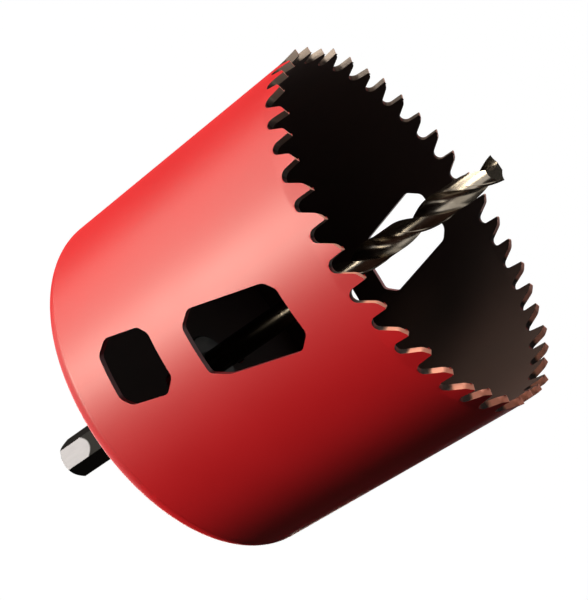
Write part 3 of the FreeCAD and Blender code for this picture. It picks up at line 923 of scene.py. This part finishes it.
def steel(name, deep, clear, metallic, roughness, grain, bright_end=None, dark_below=None):
    """Grained metal; with a height, painted light and shade on a shank's end, or a darker foot."""
    finish, tree, shader = new_finish(name)
    place = add(tree, "ShaderNodeTexCoord").outputs["Object"]
    streaks = noise(tree, stretched(tree, place, *grain), 60.0, 4.0, 0.6)
    colour = blend_colours(tree, ramp(tree, noise(tree, place, 120.0), 0.3, 0.7), deep, clear)
    rough = blend_values(tree, streaks, roughness - 0.04, roughness + 0.06)
    if bright_end:
        colour, rough = painted_shank_light(tree, shader, place, colour, rough, metallic, bright_end)
    if dark_below:
        # Partly black oxide and partly painted shade: the drill darkens below a wavy height, inside the cup.
        height = add(tree, "ShaderNodeSeparateXYZ", None, Vector=place).outputs[2]
        wave = maths(tree, "MULTIPLY", noise(tree, place, 150.0), FOOT_SHADE_WAVE)
        clean = ramp(tree, maths(tree, "ADD", height, wave), dark_below * MM, (dark_below + FOOT_SHADE_REACH) * MM)
        colour = blend_colours(tree, clean, FOOT_OXIDE_AND_SHADE, colour)
    tree.links.new(colour, shader.inputs["Base Color"])
    tree.links.new(rough, shader.inputs["Roughness"])
    tree.links.new(bump(tree, streaks, 0.01 * MM, 0.12), shader.inputs["Normal"])
    shader.inputs["Metallic"].default_value = metallic
    shader.inputs["Specular IOR Level"].default_value = 0.06
    return finish


drill_steel = steel("drill_steel", (0.23, 0.19, 0.14, 1), (0.48, 0.42, 0.34, 1), 1.0, 0.22, (1, 1, 14),
                    dark_below=72)
shank_steel = steel("shank_steel", (0.035, 0.034, 0.033, 1), (0.07, 0.066, 0.062, 1), 0.9, 0.45, (8, 8, 1),
                    bright_end=10.9)
dark_steel = steel("dark_steel", (0.045, 0.043, 0.042, 1), (0.09, 0.086, 0.08, 1), 0.9, 0.38, (1, 1, 10))
bright_steel = steel("bright_steel", (0.50, 0.49, 0.47, 1), (0.64, 0.63, 0.61, 1), 1.0, 0.3, (1, 1, 10))
for piece, finish in ((drill, drill_steel), (body, shank_steel), (plate, dark_steel), (nut, dark_steel)):
    dress(piece, finish)
finish_of = {"arbor_body": shank_steel, "drive_plate": dark_steel, "lock_nut": dark_steel,
             "drill_set_screw": dark_steel, "drive_pins": bright_steel, "retaining_ring": bright_steel,
             "cup_wall": paint, "cup_cap": paint, "pilot_drill": drill_steel}
for name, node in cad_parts.items():
    for slot in node.material_slots:
        slot.material = finish_of[name]
print("finishes:", sorted({finish.name for finish in finish_of.values()}))

# %% [markdown]
# ## Floor and light
# The tool floats clear above a wide white floor, as in a catalogue picture. The floor and the world are
# plain white to the camera and in reflections, and dim to everything else, so the background is white
# and the lamps alone light the tool. The floor lies far below, so the tool's shadow on it is faint.

# %% The floor and the world
WHITE = (1, 1, 1, 1)
FLOOR_HEIGHT = -0.55
FLOOR_SIZE = 60
WORLD_SEEN = 0.99
WORLD_FILL = 0.014


def seen_rays(tree):
    """1 for the rays of the camera, of reflections and of clear materials, and 0 for the rest."""
    rays = add(tree, "ShaderNodeLightPath").outputs
    seen = maths(tree, "MAXIMUM", rays["Is Camera Ray"], rays["Is Glossy Ray"])
    return maths(tree, "MAXIMUM", seen, rays["Is Transmission Ray"])


def dull_finish(name, grey, glow=0.0):
    """A dull grey surface without shine, which glows white a little."""
    finish, tree, shader = new_finish(name)
    shader.inputs["Base Color"].default_value = (grey, grey, grey, 1)
    shader.inputs["Specular IOR Level"].default_value = 0.0
    shader.inputs["Emission Color"].default_value = WHITE
    shader.inputs["Emission Strength"].default_value = glow
    return finish, tree, shader


bpy.ops.object.select_all(action="DESELECT")
bpy.ops.mesh.primitive_plane_add(size=FLOOR_SIZE, location=(0, 0, FLOOR_HEIGHT))
floor = bpy.context.object
floor.name = "floor"
white_floor, tree, shader = dull_finish("white_floor", 0.06)
shader.inputs["Roughness"].default_value = 0.9
tree.links.new(seen_rays(tree), shader.inputs["Emission Strength"])
floor.data.materials.append(white_floor)

world = bpy.data.worlds.new("studio")
bpy.context.scene.world = world
world.use_nodes = True
sky = world.node_tree
glow = maths(sky, "ADD", maths(sky, "MULTIPLY", seen_rays(sky), WORLD_SEEN), WORLD_FILL)
sky.nodes["Background"].inputs["Color"].default_value = WHITE
sky.links.new(glow, sky.nodes["Background"].inputs["Strength"])
print("white floor at height", FLOOR_HEIGHT)

# %% [markdown]
# The key lamp stands at the camera's left and gives the cup its broad highlight, while the right side
# stays dark. An amber lamp looks into the mouth of the cup from above the picture, and a third lights the
# back from behind. The fourth is long and is seen only in reflections, so that it adds a sheen to the
# paint and the steel without washing out the colour.

# %% The lamps
MIDDLE = Vector((0, 0, 0.08))
LAMP_DISTANCE = 0.70
WARM = (1.0, 0.92, 0.77)
AMBER = (1.0, 0.74, 0.58)


def aimed(azimuth, rise):
    """The direction from the middle of the tool to a place at an azimuth, with a rise per unit of run."""
    a = math.radians(azimuth)
    return Vector((math.cos(a), math.sin(a), rise)).normalized()


def lamp(name, azimuth, elevation, width, height, power, colour=WARM):
    """A soft rectangular lamp that looks at the middle of the tool."""
    light = bpy.data.lights.new(name, "AREA")
    light.shape = "RECTANGLE"
    light.size = width
    light.size_y = height
    light.energy = power
    light.color = colour
    holder = bpy.data.objects.new(name, light)
    bpy.context.scene.collection.objects.link(holder)
    way = aimed(azimuth, math.tan(math.radians(elevation)))
    holder.location = MIDDLE + way * LAMP_DISTANCE
    holder.rotation_euler = way.to_track_quat("Z", "Y").to_euler()
    holder.visible_camera = False
    return holder


lamp("key_lamp", -123, -27, 0.22, 0.28, 5.7)
lamp("mouth_lamp", 158, 31, 0.24, 0.24, 4.4, AMBER)
lamp("back_lamp", 85, -45, 0.36, 0.36, 3.2)
sheen_lamp = lamp("sheen_lamp", -146, -27, 1.50, 0.34, 9.8)
sheen_lamp.visible_diffuse = False

# %% [markdown]
# Paint and steel mirror what is around them, and a white world all round would lay a grey veil over the
# dark sides. Photographers keep such sides dark with black cards just out of the picture, and so does
# this scene.

# %% The dark cards
CARD_GREY = 0.01


def dark_card(name, azimuth, rise, distance, size, glow):
    """A dark card out of the picture, which the sides that turn away from the lamps reflect."""
    bpy.ops.object.select_all(action="DESELECT")
    bpy.ops.mesh.primitive_plane_add(size=size)
    card = bpy.context.object
    card.name = name
    way = aimed(azimuth, rise)
    card.location = MIDDLE + way * distance
    card.rotation_euler = way.to_track_quat("Z", "Y").to_euler()
    card.data.materials.append(dull_finish(name, CARD_GREY, glow)[0])
    card.visible_camera = False


dark_card("right_card", 4, -0.5, 0.45, 1.3, 0.01)
dark_card("left_card", 142, -0.5, 0.45, 0.60, 0.03)
dark_card("top_card", -80, 2.0, 0.65, 1.1, 0.03)

# %% [markdown]
# ## Camera
# The camera stands where the photograph was taken from: about 30 centimetres away, looking down past the
# teeth into the mouth of the cup, and rolled so that the tool's axis runs up to the right.

# %% The camera
LENS = 73.18
SENSOR = 36.0
camera = bpy.data.objects.new("camera", bpy.data.cameras.new("camera"))
bpy.context.scene.collection.objects.link(camera)
camera.data.sensor_width = SENSOR
camera.data.lens = LENS
camera.data.clip_start = 0.01
stand = Vector((0.01168, -0.25225, 0.21301))
right = Vector((0.54918, 0.41009, 0.72817))
up = Vector((-0.83443, 0.22096, 0.50488))
forward = Vector((-0.04615, 0.88488, -0.46354))
camera.matrix_world = Matrix((
    (right.x, up.x, -forward.x, stand.x),
    (right.y, up.y, -forward.y, stand.y),
    (right.z, up.z, -forward.z, stand.z),
    (0, 0, 0, 1),
))
bpy.context.scene.camera = camera
bpy.context.scene.view_settings.view_transform = "Standard"
print("camera to the tool's middle in mm:", round((stand - MIDDLE).length / MM))
